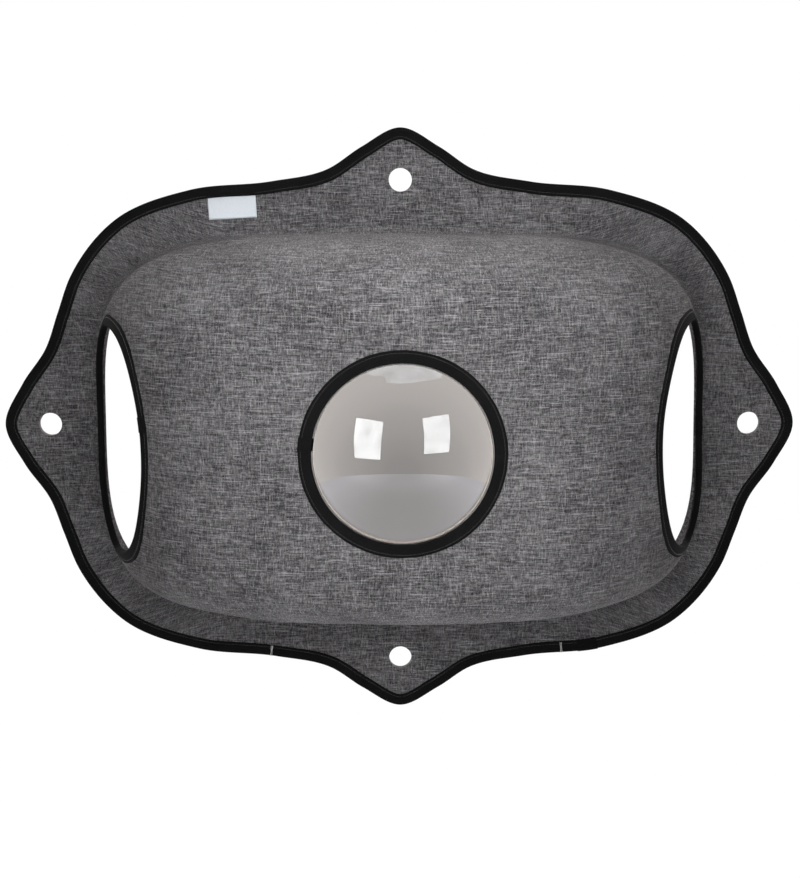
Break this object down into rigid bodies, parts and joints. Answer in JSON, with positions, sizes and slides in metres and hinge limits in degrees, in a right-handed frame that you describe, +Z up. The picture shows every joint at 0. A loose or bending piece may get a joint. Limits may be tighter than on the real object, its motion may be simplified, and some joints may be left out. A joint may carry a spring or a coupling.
{
  "type": "window mounted cat pod",
  "caption": "Window-mounted cat pod: a cloth-covered moulded foam shell with an eared flange for fixing to the glass, a doorway in each side and a clear bubble window in front.",
  "frame": {"origin": "centre of the four ear holes, on the back of the cloth-lined flange; the rim tape lifts that face 0.8 mm off the window glass", "axes": "+X across the width, +Z up, -Y out of the glass into the room, along the bubble window's axis"},
  "size_m": [0.686, 0.2088, 0.508],
  "materials": {
    "cover_cloth": "grey melange plain weave with light and dark slubs",
    "lining_cloth": "grey melange plain weave",
    "foam": "closed-cell foam",
    "binding_tape": "matt woven tape",
    "clear_acrylic": "clear, polished",
    "label_satin": "blank satin weave",
    "black_thread": "matt thread",
    "white_thread": "matt thread"
  },
  "bodies": {
    "root": {"inner_lining": "lining_cloth", "foam_shell": "foam", "outer_cover": "cover_cloth", "rim_binding": "binding_tape", "left_door_binding": "binding_tape", "right_door_binding": "binding_tape", "window_binding": "binding_tape", "bubble_window": "clear_acrylic", "blank_label": "label_satin", "rim_stitching": "black_thread", "left_door_stitching": "black_thread", "right_door_stitching": "black_thread", "window_stitching": "black_thread", "rim_tacks": "white_thread"}
  },
  "joints": []
}
